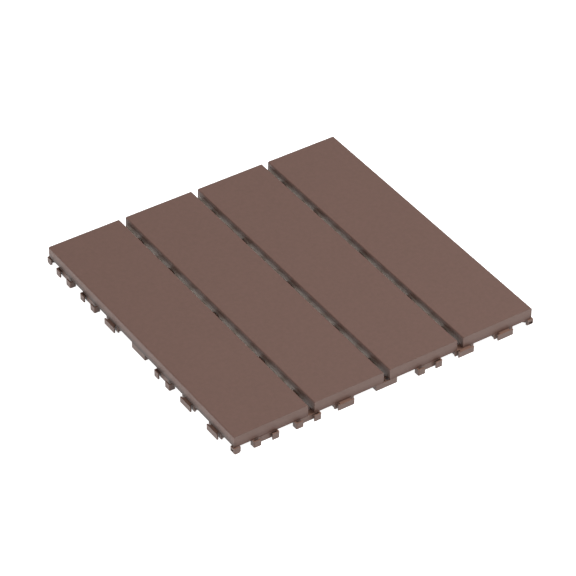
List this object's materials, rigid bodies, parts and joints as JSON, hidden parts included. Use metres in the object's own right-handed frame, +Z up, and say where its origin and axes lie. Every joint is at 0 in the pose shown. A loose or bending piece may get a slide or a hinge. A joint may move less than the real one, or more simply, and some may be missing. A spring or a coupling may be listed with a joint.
{
  "type": "interlocking deck tile",
  "caption": "Square outdoor deck tile: solid wood-plastic slats screwed to a moulded plastic grid whose edge hooks and sockets lock to the next tile.",
  "frame": {"origin": "centre of the tile on the plane it stands on", "axes": "+X across the slats, +Y along the slats, +Z up through the tread face"},
  "size_m": [0.3028, 0.3028, 0.0171],
  "materials": {
    "slat_composite": "matte brown wood-plastic composite, very fine mottle",
    "base_plastic": "matte brown moulded polypropylene, fine texture",
    "screw_steel": "bright zinc plated"
  },
  "bodies": {
    "root": {"deck_slat_1": "slat_composite", "deck_slat_2": "slat_composite", "deck_slat_3": "slat_composite", "deck_slat_4": "slat_composite", "base_grid": "base_plastic", "slat_screws": "screw_steel"}
  },
  "joints": []
}
